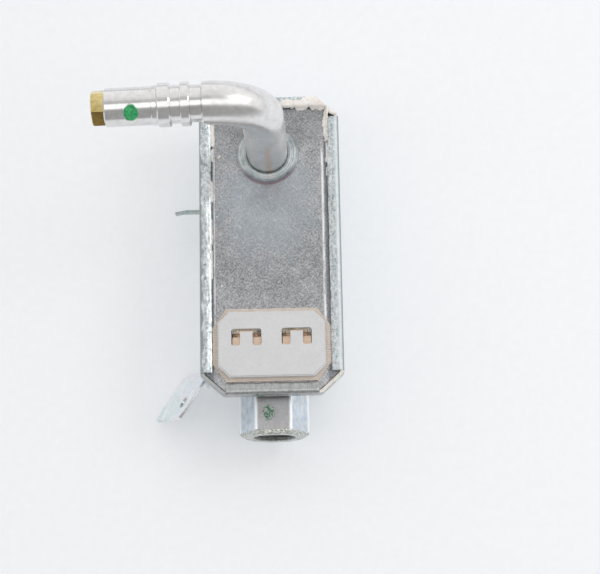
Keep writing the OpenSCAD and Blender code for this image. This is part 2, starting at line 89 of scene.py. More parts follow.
# ---------------------------------------------------------------- materials
def srgb(r, g, b):
    """Linear colour from 0..255 display values."""
    out = []
    for v in (r, g, b):
        v /= 255
        out.append(v / 12.92 if v <= 0.04045 else ((v + 0.055) / 1.055) ** 2.4)
    return (*out, 1.0)


class Paint:
    """A principled material with short calls for its nodes. Places are object coordinates in millimetres."""

    def __init__(self, name, metallic=0.0, roughness=0.5, specular=0.5):
        self.material = bpy.data.materials.new(name)
        self.material.use_nodes = True
        self.tree = self.material.node_tree
        self.tree.nodes.clear()
        output = self.tree.nodes.new("ShaderNodeOutputMaterial")
        self.shader = self.tree.nodes.new("ShaderNodeBsdfPrincipled")
        self.tree.links.new(self.shader.outputs[0], output.inputs[0])
        self.shader.inputs["Metallic"].default_value = metallic
        self.shader.inputs["Roughness"].default_value = roughness
        self.shader.inputs["Specular IOR Level"].default_value = specular
        place = self.tree.nodes.new("ShaderNodeTexCoord")
        self.at = self.vector("SCALE", place.outputs["Object"], scale=1000.0)
        self.height = None

    def put(self, socket, value):
        if isinstance(value, bpy.types.NodeSocket):
            self.tree.links.new(value, socket)
        elif value is not None:
            socket.default_value = value

    def vector(self, operation, a, b=None, scale=None):
        n = self.tree.nodes.new("ShaderNodeVectorMath")
        n.operation = operation
        self.put(n.inputs[0], a)
        self.put(n.inputs[1], b)
        if scale is not None:
            n.inputs["Scale"].default_value = scale
        return n.outputs["Value" if operation in ("LENGTH", "DISTANCE", "DOT_PRODUCT") else "Vector"]

    def distance(self, centre, weights):
        """Distance from a point, each axis weighted."""
        away = self.vector("SUBTRACT", self.at, centre)
        return self.vector("LENGTH", self.vector("MULTIPLY", away, weights))

    def math(self, operation, a, b=None):
        n = self.tree.nodes.new("ShaderNodeMath")
        n.operation = operation
        self.put(n.inputs[0], a)
        self.put(n.inputs[1], b)
        return n.outputs[0]

    def axes(self):
        n = self.tree.nodes.new("ShaderNodeSeparateXYZ")
        self.put(n.inputs[0], self.at)
        return n.outputs[0], n.outputs[1], n.outputs[2]

    def join(self, x, y, z):
        n = self.tree.nodes.new("ShaderNodeCombineXYZ")
        for socket, v in zip(n.inputs, (x, y, z)):
            self.put(socket, v)
        return n.outputs[0]

    def noise(self, size, detail=3.0, rough=0.55, stretch=(1, 1, 1), shift=0.0, warp=0.0, at=None):
        """Noise whose features are about size mm, drawn out along an axis by stretch."""
        n = self.tree.nodes.new("ShaderNodeTexNoise")
        scaled = self.vector("MULTIPLY", at or self.at, tuple(1 / (size * s) for s in stretch))
        self.put(n.inputs["Vector"], self.vector("ADD", scaled, (shift, shift * 1.7, shift * 0.6)))
        n.inputs["Scale"].default_value = 1.0
        n.inputs["Detail"].default_value = detail
        n.inputs["Roughness"].default_value = rough
        n.inputs["Distortion"].default_value = warp
        return n.outputs[0]

    def ramp(self, value, low, high, to_low=0.0, to_high=1.0, smooth=False):
        n = self.tree.nodes.new("ShaderNodeMapRange")
        n.interpolation_type = "SMOOTHSTEP" if smooth else "LINEAR"
        for socket, v in zip(n.inputs, (value, low, high, to_low, to_high)):
            self.put(socket, v)
        return n.outputs[0]

    def mix(self, share, a, b, mode="MIX"):
        n = self.tree.nodes.new("ShaderNodeMix")
        n.data_type = "RGBA"
        n.blend_type = mode
        self.put(n.inputs[0], share)
        self.put(n.inputs[6], a)
        self.put(n.inputs[7], b)
        return n.outputs[2]

    def mix_value(self, share, a, b):
        n = self.tree.nodes.new("ShaderNodeMix")
        for socket, v in zip((n.inputs[0], n.inputs[2], n.inputs[3]), (share, a, b)):
            self.put(socket, v)
        return n.outputs[0]

    def colours(self, value, *stops):
        """Colour ramp: stops are (position, colour)."""
        n = self.tree.nodes.new("ShaderNodeValToRGB")
        band = n.color_ramp
        while len(band.elements) < len(stops):
            band.elements.new(0.5)
        for element, (position, colour) in zip(band.elements, stops):
            element.position = position
            element.color = colour
        self.put(n.inputs[0], value)
        return n.outputs[0]

    def bump(self, value, depth):
        """Adds relief of depth mm."""
        n = self.tree.nodes.new("ShaderNodeBump")
        n.inputs["Strength"].default_value = 1.0
        n.inputs["Distance"].default_value = depth * MM
        self.put(n.inputs["Height"], value)
        if self.height is not None:
            self.put(n.inputs["Normal"], self.height)
        self.height = n.outputs[0]

    def done(self, colour=None, roughness=None, **rest):
        self.put(self.shader.inputs["Base Color"], colour)
        self.put(self.shader.inputs["Roughness"], roughness)
        if self.height is not None:
            self.put(self.shader.inputs["Normal"], self.height)
        for name, value in rest.items():
            self.shader.inputs[name].default_value = value
        return self.material


def can_zinc():
    """Zinc-plated sheet worked by the crimping tool: crisp mottling, streaks, a smoother outer edge on the
    right that is painted lighter as a highlight, and painted shade along the left edge.
    """
    p = Paint("zinc_steel", metallic=1.0)
    x, y, z = p.axes()
    mottle = p.noise(1.25, 5, 0.66, warp=0.9)
    streak = p.noise(0.5, 3, 0.6, stretch=(1, 7, 1), shift=3.0)
    fine = p.noise(0.28, 3, 0.6, shift=8.0)
    value = p.math("ADD", p.math("MULTIPLY", mottle, 0.5), p.math("ADD", p.math("MULTIPLY", streak, 0.28),
                                                                 p.math("MULTIPLY", fine, 0.22)))
    colour = p.colours(value, (0.38, srgb(138, 148, 154)), (0.48, srgb(204, 211, 213)),
                       (0.6, srgb(246, 249, 249)))
    wall = p.ramp(z, 24.2, 25.4, 1, 0)
    calm = p.noise(4.0, 4, 0.6, shift=17.0)
    calm = p.colours(calm, (0.36, srgb(190, 199, 203)), (0.64, srgb(224, 230, 232)))
    colour = p.mix(p.math("MULTIPLY", wall, 0.78), colour, calm)
    ragged = p.ramp(p.noise(1.8, 4, 0.6, stretch=(1, 2.5, 1), shift=12.0), 0.3, 0.7, -0.7, 0.7)
    # painted highlight: the outer half of the right flap drawn lighter and calmer, as the side the light
    # falls on
    colour = p.mix(p.ramp(x, 20.2, 20.6, 0, 0.7), colour, srgb(206, 213, 215))
    right_edge = p.math("MULTIPLY", p.ramp(x, 21.5, 21.75, 0, 0.8), p.ramp(z, 25.0, 25.6))
    colour = p.mix(right_edge, colour, srgb(150, 158, 158))
    shade = p.math("MULTIPLY", p.ramp(p.math("ADD", x, ragged), -20.9, -21.4, 0, 0.85), p.ramp(z, 25.6, 26.6))
    colour = p.mix(shade, colour, srgb(142, 150, 148))
    colour = p.mix(p.ramp(y, -43.6, -44.0, 0, 0.6), colour, srgb(158, 154, 152))
    spot = p.distance((-4.2, -47.6, 25.6), (0.5, 0.9, 0.7))
    smudge = p.math("MULTIPLY", p.ramp(p.noise(0.9, 3, 0.6, shift=18.0), 0.42, 0.5), p.ramp(spot, 1.2, 0.9))
    dot = p.vector("LENGTH", p.vector("SUBTRACT", p.at, (-4.7, -47.5, 26.6)))
    smudge = p.math("MAXIMUM", p.math("MULTIPLY", smudge, 0.7), p.ramp(dot, 0.75, 0.55))
    colour = p.mix(smudge, colour, srgb(20, 104, 62))
    p.put(p.shader.inputs["Metallic"], p.math("SUBTRACT", 1.0, smudge))
    p.bump(p.math("MULTIPLY", mottle, p.ramp(wall, 0, 1, 1.0, 0.2)), 0.05)
    p.bump(p.math("MULTIPLY", streak, p.ramp(wall, 0, 1, 1.0, 0.3)), 0.015)
    p.bump(fine, 0.01)
    return p.done(colour, p.mix_value(p.ramp(x, 19.9, 20.7), p.ramp(fine, 0.3, 0.7, 0.26, 0.44), 0.58))


def bracket_zinc():
    """Bright passivated zinc with faint cyan and pink films."""
    p = Paint("bracket_zinc", metallic=1.0)
    film = p.noise(6.5, 2, 0.5, stretch=(1, 1.6, 1), warp=0.3, shift=2.0)
    fine = p.noise(0.3, 3, 0.6)
    blotch = p.noise(1.4, 4, 0.6, shift=6.0)
    tint = p.colours(film, (0.3, srgb(206, 228, 234)), (0.42, srgb(232, 241, 243)),
                     (0.5, srgb(248, 249, 249)), (0.57, srgb(241, 233, 241)), (0.68, srgb(230, 241, 246)))
    shade = p.colours(p.math("ADD", p.math("MULTIPLY", blotch, 0.6), p.math("MULTIPLY", fine, 0.4)),
                      (0.36, (0.9, 0.91, 0.92, 1)), (0.5, (1, 1, 1, 1)))
    shade = p.mix(p.ramp(p.axes()[1], 0, 10), shade, (0.5, 0.56, 0.55, 1))
    colour = p.mix(1.0, p.mix(0.4, tint, srgb(236, 241, 243)), shade, "MULTIPLY")
    p.bump(blotch, 0.02)
    p.bump(fine, 0.008)
    return p.done(colour, p.ramp(fine, 0.3, 0.7, 0.2, 0.34))


def bare_edge(name, left_shade):
    """Sheared edge of a sheet: pale, dull and torn, with painted shade making it greyer on the left."""
    p = Paint(name, metallic=0.55)
    torn = p.noise(0.35, 4, 0.65, stretch=(1, 1, 0.5))
    p.bump(torn, 0.04)
    colour = p.colours(torn, (0.38, srgb(196, 190, 180)), (0.55, srgb(246, 243, 236)))
    # painted shade: greyer towards the left, the side away from the light
    return p.done(p.mix(p.ramp(p.axes()[0], 8, -8, 0, left_shade), colour, srgb(158, 164, 166)), 0.5)


def cover_zinc():
    """The sunk plate: dull and scratched, cooler below the tube, with painted shade along its edges under the
    flaps and a painted reflection of the flaps as a bright line along each seam.
    """
    p = Paint("cover_zinc", metallic=1.0)
    x, y = p.axes()[:2]
    broad = p.noise(5.5, 4, 0.6, warp=0.5)
    fine = p.noise(0.55, 4, 0.7)
    speck = p.noise(0.28, 2, 0.6, shift=2.0)
    value = p.math("ADD", p.math("MULTIPLY", broad, 0.25), p.math("MULTIPLY", fine, 0.75))
    colour = p.colours(value, (0.36, srgb(116, 118, 120)), (0.5, srgb(168, 168, 171)),
                       (0.64, srgb(208, 209, 210)))
    patch = p.distance((-1.0, 14.0, 26.5), (1.0, 0.8, 0))
    patch = p.ramp(p.math("ADD", patch, p.ramp(broad, 0.3, 0.7, -4, 4)), 7, 20, 1, 0, smooth=True)
    colour = p.mix(p.math("MULTIPLY", patch, 0.5), colour, srgb(190, 202, 210))
    colour = p.mix(p.ramp(y, 24, 44, 0, 0.35, smooth=True), colour, srgb(110, 112, 114))
    colour = p.mix(p.ramp(speck, 0.6, 0.7, 0, 0.35), colour, srgb(236, 238, 238))
    for turn, shift in ((0.6, 1.0), (-0.9, 4.4), (2.2, 8.0)):
        c, s = math.cos(turn), math.sin(turn)
        along = p.math("ADD", p.math("MULTIPLY", x, c), p.math("MULTIPLY", y, s))
        across = p.math("SUBTRACT", p.math("MULTIPLY", y, c), p.math("MULTIPLY", x, s))
        line = p.noise(0.13, 2, 0.5, stretch=(26, 1, 1), shift=shift, at=p.join(along, across, 0.0))
        colour = p.mix(p.ramp(line, 0.66, 0.72, 0, 0.7), colour, srgb(236, 238, 240))
    ring = p.distance((RISER_X, RISER_Y, 0), (1, 1, 0))
    halo = p.math("MULTIPLY", p.ramp(ring, 9.7, 10.3, 1, 0), p.ramp(y, 22, 19.6, 0, 1))
    colour = p.mix(p.math("MULTIPLY", halo, 0.35), colour, srgb(214, 176, 176))
    # painted reflection: a bright line along each seam stands for the flaps' edges mirrored in the plate,
    # broken up by noise, with a little relief
    reflection_breakup = p.noise(0.9, 3, 0.6, stretch=(1, 6, 1), shift=5.5)
    seam_left = p.ramp(p.math("ABSOLUTE", p.math("ADD", x, 17.35)), 0.05, 0.28, 1, 0)
    seam_right = p.ramp(p.math("ABSOLUTE", p.math("SUBTRACT", x, 16.55)), 0.1, 0.5, 1, 0)
    seam_right = p.math("MULTIPLY", seam_right, p.ramp(y, 34, 29))
    seams = p.math("MULTIPLY", p.math("MAXIMUM", seam_left, seam_right), p.ramp(reflection_breakup, 0.36, 0.5, 0.25, 0.95))
    seams = p.math("MULTIPLY", seams, p.ramp(y, -35, -32))
    # painted shade: the plate darkened along its edges, in the gap under the flaps
    edge = p.math("MAXIMUM", p.ramp(x, 17.0, 17.4), p.ramp(x, -17.7, -18.0))
    colour = p.mix(p.math("MULTIPLY", edge, 0.55), colour, srgb(92, 94, 98))
    colour = p.mix(seams, colour, srgb(244, 245, 245))
    p.bump(broad, 0.014)
    p.bump(fine, 0.02)
    p.bump(speck, 0.01)
    p.bump(seams, 0.04)
    return p.done(colour, p.ramp(fine, 0.3, 0.7, 0.36, 0.5))


def spud_brass():
    """Brass bar with fine lengthwise lines; the flat that faces the inlet is rougher and painted dull brown
    as shade.
    """
    p = Paint("spud_brass", metallic=1.0)
    lines = p.noise(0.12, 3, 0.6, stretch=(60, 1, 1))
    broad = p.noise(2.2, 4, 0.6, shift=5.0)
    value = p.math("ADD", p.math("MULTIPLY", lines, 0.35), p.math("MULTIPLY", broad, 0.65))
    colour = p.colours(value, (0.38, srgb(208, 182, 112)), (0.5, srgb(230, 208, 142)),
                       (0.63, srgb(245, 230, 176)))
    x, y = p.axes()[:2]
    along = p.math("ADD", x, p.math("MULTIPLY", y, LEG_SLOPE))
    off_end = p.ramp(along, SPUD_END + 0.12, SPUD_END + 0.22)
    # painted shade: the flat facing the inlet, short of the end face, drawn dull brown and made rougher
    dull = p.math("MULTIPLY", p.ramp(y, SPUD_EDGE_Y + 0.1, SPUD_EDGE_Y - 0.1), off_end)
    facet_shade_colour = p.colours(broad, (0.35, srgb(124, 102, 56)), (0.65, srgb(156, 130, 74)))
    colour = p.mix(dull, colour, facet_shade_colour)
    p.bump(lines, 0.004)
    p.bump(broad, 0.015)
    return p.done(colour, p.mix_value(dull, p.ramp(value, 0.35, 0.65, 0.24, 0.16), 0.36))


def plain(name, low, high, size, rough=(0.5, 0.7), depth=0.02, metallic=0.0, stretch=(1, 1, 1)):
    """Two-tone material with matching relief, for small and inner parts."""
    p = Paint(name, metallic=metallic)
    grain = p.noise(size, 4, 0.6, stretch=stretch)
    wide = p.noise(size * 7, 3, 0.5, shift=4.0)
    value = p.math("ADD", p.math("MULTIPLY", grain, 0.6), p.math("MULTIPLY", wide, 0.4))
    p.bump(grain, depth)
    return p.done(p.colours(value, (0.36, low), (0.64, high)), p.ramp(grain, 0.3, 0.7, rough[0], rough[1]))


def turned_collar():
    """Turned aluminium: fine rings round the riser, a heat tint at the outer edge."""
    p = Paint("seat_aluminium", metallic=1.0)
    radius = p.distance((RISER_X, RISER_Y, 0), (1, 1, 0))
    ring = p.noise(0.34, 3, 0.6, at=p.join(radius, 0.0, 0.0), shift=1.0)
    cloud = p.noise(2.4, 3, 0.5, shift=3.0)
    value = p.math("ADD", p.math("MULTIPLY", ring, 0.6), p.math("MULTIPLY", cloud, 0.4))
    colour = p.colours(value, (0.36, srgb(150, 160, 164)), (0.5, srgb(188, 196, 198)),
                       (0.64, srgb(224, 226, 224)))
    tint = p.colours(p.ramp(radius, 9.0, 9.8), (0.0, srgb(206, 206, 200)), (0.45, srgb(120, 136, 170)),
                     (0.8, srgb(196, 150, 160)), (1.0, srgb(214, 190, 180)))
    lower = p.ramp(p.axes()[1], 27.0, 21.0, 0.1, 0.7, smooth=True)
    colour = p.mix(p.math("MULTIPLY", p.ramp(radius, 8.9, 9.3), lower), colour, tint)
    p.bump(ring, 0.03)
    return p.done(colour, p.ramp(cloud, 0.3, 0.7, 0.26, 0.4))


def satin_tube():
    """Satin aluminium: turned lines on the plain end, soft streaks, specks and one dab of paint."""
    p = Paint("tube_aluminium", metallic=1.0)
    x, y, z = p.axes()
    turned = p.noise(0.16, 3, 0.6, stretch=(1, 30, 30))
    soft = p.noise(1.6, 3, 0.5, shift=2.0)
    streak = p.noise(0.3, 3, 0.6, stretch=(14, 6, 14), shift=6.0)
    value = p.math("ADD", p.math("MULTIPLY", streak, 0.5), p.math("MULTIPLY", soft, 0.5))
    colour = p.colours(value, (0.34, srgb(221, 219, 218)), (0.5, srgb(230, 229, 228)),
                       (0.66, srgb(237, 237, 237)))
    at_end = p.ramp(x, -17.5, -18.5, 0, 1)
    colour = p.mix(p.math("MULTIPLY", at_end, p.ramp(turned, 0.56, 0.7, 0, 0.3)), colour, srgb(190, 186, 184))
    pits = p.ramp(p.noise(0.45, 3, 0.6, shift=11.0), 0.7, 0.76, 0, 0.6)
    colour = p.mix(pits, colour, srgb(150, 148, 146))
    riser = p.math("MULTIPLY", p.ramp(z, 58, 46, 0, 1, smooth=True),
                   p.ramp(p.math("ABSOLUTE", p.math("SUBTRACT", x, 0.2)), 0.3, 1.6, 1, 0, smooth=True))
    colour = p.mix(p.math("MULTIPLY", riser, 0.5), colour, srgb(226, 196, 172))
    turn = p.math("ARCTAN2", p.math("SUBTRACT", y, DAB_Y), p.math("SUBTRACT", z, LEG_Z))
    across = p.math("DIVIDE", p.math("MULTIPLY", p.math("ADD", turn, -DAB_TURN), 5.6), 2.75)
    along = p.math("DIVIDE", p.math("ADD", x, -DAB_X), 2.35)
    spot = p.math("SQRT", p.math("ADD", p.math("MULTIPLY", across, across), p.math("MULTIPLY", along, along)))
    spot = p.math("ADD", spot, p.ramp(p.noise(1.1, 3, 0.6, shift=21.0), 0.3, 0.7, -0.07, 0.07))
    paint = p.ramp(spot, 1.0, 0.86)
    green = p.colours(p.noise(0.9, 3, 0.6, shift=31.0), (0.35, srgb(20, 138, 78)), (0.65, srgb(74, 190, 118)))
    colour = p.mix(paint, colour, green)
    p.bump(p.math("MULTIPLY", turned, at_end), 0.006)
    p.bump(soft, 0.003)
    p.bump(paint, 0.04)
    p.put(p.shader.inputs["Metallic"], p.math("SUBTRACT", 1.0, paint))
    rough = p.ramp(x, -20, -10, 0.15, 0.27, smooth=True)
    rough = p.mix_value(p.ramp(z, 60, 50, smooth=True), rough, 0.38)
    return p.done(colour, p.mix_value(paint, rough, 0.45))


def creped_paper():
    """Pale tan fibre paper with close ridges across the part's length, and painted shade in the troughs
    between them.
    """
    p = Paint("creped_paper", specular=0.2)
    y = p.axes()[1]
    fibre = p.noise(0.3, 4, 0.6, stretch=(2, 1, 1))
    wide = p.noise(2.4, 3, 0.5, shift=4.0)
    bend = p.math("ADD", y, p.math("MULTIPLY", wide, 0.5))
    ridge = p.math("SINE", p.math("MULTIPLY", bend, 2 * math.pi / CREPE_PITCH))
    value = p.math("ADD", p.math("MULTIPLY", fibre, 0.6), p.math("MULTIPLY", wide, 0.4))
    colour = p.colours(value, (0.36, srgb(216, 202, 188)), (0.64, srgb(242, 232, 222)))
    # painted shade: the troughs between the ridges drawn darker
    colour = p.mix(p.ramp(ridge, -1.0, 0.4, 0.5, 0.0), colour, srgb(176, 158, 144))
    p.bump(ridge, 0.05)
    p.bump(fibre, 0.05)
    return p.done(colour, p.ramp(fibre, 0.3, 0.7, 0.8, 0.95))


def speckled_hex():
    """The inlet's bar steel: drawn lines, and specks and one smear of green marking paint, with painted shade
    on the flat facing up and inside the bore, and painted highlights along the edges between the flats.
    """
    p = Paint("inlet_steel", metallic=1.0)
    x, y, z = p.axes()
    lines = p.noise(0.12, 3, 0.6, stretch=(1, 60, 1))
    broad = p.noise(2.2, 4, 0.6, shift=5.0)
    fine = p.noise(0.4, 4, 0.65, shift=2.0)
    value = p.math("ADD", p.math("MULTIPLY", lines, 0.4), p.math("MULTIPLY", broad, 0.6))
    colour = p.colours(value, (0.38, srgb(190, 196, 199)), (0.5, srgb(214, 218, 220)),
                       (0.63, srgb(238, 240, 240)))
    # painted shade: the flat facing up drawn darker grey-pink, mottled by noise
    flat = p.math("MULTIPLY", p.ramp(p.math("ABSOLUTE", x), 4.6, 5.0, 1, 0), p.ramp(z, 20, 21))
    top_flat_shade = p.math("ADD", p.math("MULTIPLY", fine, 0.6), p.math("MULTIPLY", broad, 0.4))
    top_flat_shade = p.ramp(top_flat_shade, 0.42, 0.58, 0.55, 0.95)
    cool = p.ramp(p.noise(1.5, 3, 0.6, stretch=(1, 2, 1), shift=15.0), 0.42, 0.62, 0, 0.6)
    colour = p.mix(cool, colour, srgb(202, 222, 244))
    colour = p.mix(p.math("MULTIPLY", top_flat_shade, flat), colour, srgb(170, 165, 164))
    # painted highlight: white along the edges between the flats and at the side corners
    arris_highlight = p.math("ABSOLUTE", p.math("SUBTRACT", p.math("ABSOLUTE", x), 5.4))
    arris_highlight = p.math("MULTIPLY", p.ramp(arris_highlight, 0.2, 0.55, 1, 0), p.ramp(z, 20.8, 21.6))
    arris_highlight = p.math("MAXIMUM", arris_highlight, p.ramp(p.math("ABSOLUTE", x), 10.1, 10.5))
    colour = p.mix(arris_highlight, colour, srgb(255, 255, 255))
    patch = p.distance((-1.5, -52.4, 24.3), (0.5, 0.4, 0.2))
    speck = p.math("MULTIPLY", p.ramp(p.noise(0.5, 3, 0.7, shift=8.0), 0.47, 0.51), p.ramp(patch, 1.2, 0.8))
    paint = p.math("MULTIPLY", speck, 0.92)
    face = p.ramp(y, -57.3, -57.7)
    torn = p.noise(0.42, 4, 0.7, stretch=(2.2, 1, 0.8), shift=4.0)
    burr = p.colours(torn, (0.4, srgb(112, 116, 110)), (0.5, srgb(188, 192, 184)), (0.6, srgb(250, 250, 242)))
    colour = p.mix(p.math("MULTIPLY", face, 0.85), colour, burr)
    # painted shade: the inside of the bore drawn dark
    bore = p.ramp(p.distance((0, 0, INLET_Z), (1, 0, 1)), 6.7, 6.3)
    colour = p.mix(p.math("MULTIPLY", bore, 0.75), colour, srgb(58, 60, 58))
    colour = p.mix(paint, colour, srgb(14, 108, 64))
    p.bump(lines, 0.006)
    p.bump(broad, 0.02)
    p.bump(fine, 0.012)
    p.bump(p.math("MULTIPLY", face, torn), 0.12)
    p.put(p.shader.inputs["Metallic"], p.math("SUBTRACT", 1.0, paint))
    return p.done(colour, p.ramp(value, 0.35, 0.65, 0.4, 0.28))


looks = {
    "zinc_steel": can_zinc(),
    "cover_steel": cover_zinc(),
    "inlet_steel": speckled_hex(),
    "tube_aluminium": satin_tube(),
    "seat_aluminium": turned_collar(),
    "spud_brass": spud_brass(),
    "creped_paper": creped_paper(),
}

# Two colours, grain size, roughness from and to, relief, metallic and stretch
plain_looks = {
    "sealant": (srgb(238, 230, 220), srgb(254, 251, 247), 0.7, (0.45, 0.7), 0.12),
    "white_ceramic": (srgb(212, 212, 213), srgb(221, 221, 222), 0.8, (0.5, 0.62), 0.008),
    "contact_copper": (srgb(228, 196, 170), srgb(250, 226, 204), 0.5, (0.3, 0.42), 0.01, 1.0),
    "phenolic": (srgb(150, 104, 66), srgb(190, 140, 96), 0.6, (0.55, 0.75), 0.03),
    "lead_sleeve": (srgb(206, 204, 192), srgb(236, 234, 224), 0.25, (0.8, 0.95), 0.06),
    "plain_steel": (srgb(120, 124, 128), srgb(176, 180, 182), 0.4, (0.3, 0.5), 0.015, 1.0),
    "bimetal": (srgb(150, 146, 130), srgb(196, 190, 172), 0.3, (0.3, 0.45), 0.01, 1.0, (1, 20, 1)),
    "mica": (srgb(160, 146, 116), srgb(206, 196, 168), 0.8, (0.2, 0.4), 0.03),
    "heater_alloy": (srgb(130, 130, 134), srgb(188, 188, 190), 0.3, (0.3, 0.5), 0.01, 1.0),
    "glass_cloth": (srgb(212, 210, 198), srgb(240, 238, 230), 0.35, (0.8, 0.95), 0.08),
    "disc_rubber": (srgb(30, 30, 32), srgb(52, 52, 54), 0.6, (0.6, 0.8), 0.02),
    "gasket_rubber": (srgb(40, 40, 38), srgb(66, 64, 60), 0.6, (0.7, 0.9), 0.03),
    "stainless": (srgb(168, 168, 168), srgb(212, 212, 210), 0.3, (0.25, 0.4), 0.01, 1.0),
}
for name, row in plain_looks.items():
    looks[name] = plain(name, *row)


def finish_with(piece, material):
    piece.data.materials.clear()
    piece.data.materials.append(material)


SLOT_OF = {row["node"]: row["material_slot"] for row in frame["record"]["subparts"]}
for node_name, node_object in NODES.items():
    finish_with(node_object, looks[SLOT_OF[node_name]])


# ---------------------------------------------------------------- mesh helpers
def wave(x, y, z, size, seed=0.0):
    """Smooth noise from -1 to 1 with features of about size mm."""
    return noise.noise(Vector((x / size + seed, y / size - seed * 1.3, z / size + seed * 0.7)))


def add_piece(name, vertices, faces, material, body="can", smooth_angle=35):
    """A mesh piece from points in millimetres, shaded smooth apart from edges over an angle."""
    mesh = bpy.data.meshes.new(name)
    mesh.from_pydata([tuple(float(c) * MM for c in v) for v in vertices], [], faces)
    return add_mesh(name, mesh, material, body, smooth_angle)


def add_mesh(name, mesh, material, body, smooth_angle):
    mesh.validate()
    piece = bpy.data.objects.new(name, mesh)
    bpy.context.scene.collection.objects.link(piece)
    bm = bmesh.new()
    bm.from_mesh(mesh)
    bmesh.ops.recalc_face_normals(bm, faces=bm.faces)
    limit = math.radians(smooth_angle)
    for face in bm.faces:
        face.smooth = True
    for edge in bm.edges:
        edge.smooth = len(edge.link_faces) != 2 or edge.calc_face_angle(0) < limit
    bm.to_mesh(mesh)
    bm.free()
    finish_with(piece, material)
    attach(piece, body)
    return piece


def eased(node, width, angle=25, segments=2, material=None, edge_material=None, smooth_angle=35):
    """Stands for a CAD node: the same shape with its sharp edges eased by width mm."""
    source = NODES[node]
    bm = bmesh.new()
    bm.from_mesh(source.data)
    bmesh.ops.remove_doubles(bm, verts=bm.verts, dist=2e-6)
    bmesh.ops.dissolve_limit(bm, angle_limit=math.radians(0.4), verts=bm.verts, edges=bm.edges)
    sharp = [e for e in bm.edges if len(e.link_faces) == 2 and e.calc_face_angle(0) > math.radians(angle)]
    bmesh.ops.bevel(bm, geom=sharp, offset=width * MM, segments=segments, profile=0.5, affect="EDGES",
                    clamp_overlap=True, material=1 if edge_material else -1)
    bmesh.ops.triangulate(bm, faces=[f for f in bm.faces if len(f.verts) > 4])
    mesh = bpy.data.meshes.new(node + "_eased")
    bm.to_mesh(mesh)
    bm.free()
    on_edge = [polygon.material_index for polygon in mesh.polygons]
    look, slot = material or looks[SLOT_OF[node]], SLOT_OF[node]
    piece = add_mesh(node + "_eased", mesh, look, source["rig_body"], smooth_angle)
    if edge_material:
        mesh.materials.append(edge_material)
        mesh.polygons.foreach_set("material_index", on_edge)
    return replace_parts(piece, node)


# ---------------------------------------------------------------- the crimped can
HALF_W, HALF_L, CAN_TOP = box_mm("housing_pan")[1]
CORNER_X, CORNER_Y = 7.0, 6.3          # corner cuts
STEP, SHEET, FOLD, HEM = 1.2, 1.2, 1.6, 3.8
LEDGE = box_mm("cover_plate")[0][2] - SHEET
PLATE_TOP = box_mm("cover_plate")[1][2]
END_WALL = HALF_L - 4.8                # outer face of the inlet end's wall
CORNER_STEP = 3.6                      # corner cuts of the lower can, in from the flange's


def corners(d, cut=0.0):
    """Eight corners of the outline moved in by d, its corner cuts by cut more, starting at the lower left."""
    slope = math.hypot(1 / CORNER_X, 1 / CORNER_Y)
    x, y = HALF_W - d, HALF_L - d
    cx = CORNER_X * (1 + (d + cut) * slope - d / CORNER_Y) - d
    cy = CORNER_Y * (1 + (d + cut) * slope - d / CORNER_X) - d
    return [Vector(p) for p in ((cx - x, -y), (x - cx, -y), (x, cy - y), (x, y - cy),
                                (x - cx, y), (cx - x, y), (-x, y - cy), (-x, cy - y))]


def outline_samples(spacing, soft=0.9, arc=5):
    """Where the outline is sampled: (side, share along it) on a side, or (corner, share) in a soft corner."""
    base, found = corners(0), []
    for i in range(8):
        a, b = base[i], base[(i + 1) % 8]
        length = (b - a).length
        count = max(3, round((length - 2 * soft) / (spacing if i % 2 == 0 else spacing * 1.6)))
        for k in range(count + 1):
            found.append(("side", i, (soft + (length - 2 * soft) * k / count) / length))
        for k in range(1, arc):
            found.append(("corner", (i + 1) % 8, k / arc))
    return found


def outline_point(sample, d, cut=0.0, soft=0.9):
    """The sample's point on the outline moved in by d, with its corners rounded off."""
    kind, i, share = sample
    c = corners(d, cut)
    if kind == "side":
        return c[i].lerp(c[(i + 1) % 8], share)
    before, at, after = c[i - 1], c[i], c[(i + 1) % 8]
    p = at + (before - at).normalized() * soft
    q = at + (after - at).normalized() * soft
    return p * (1 - share) ** 2 + at * 2 * share * (1 - share) + q * share ** 2


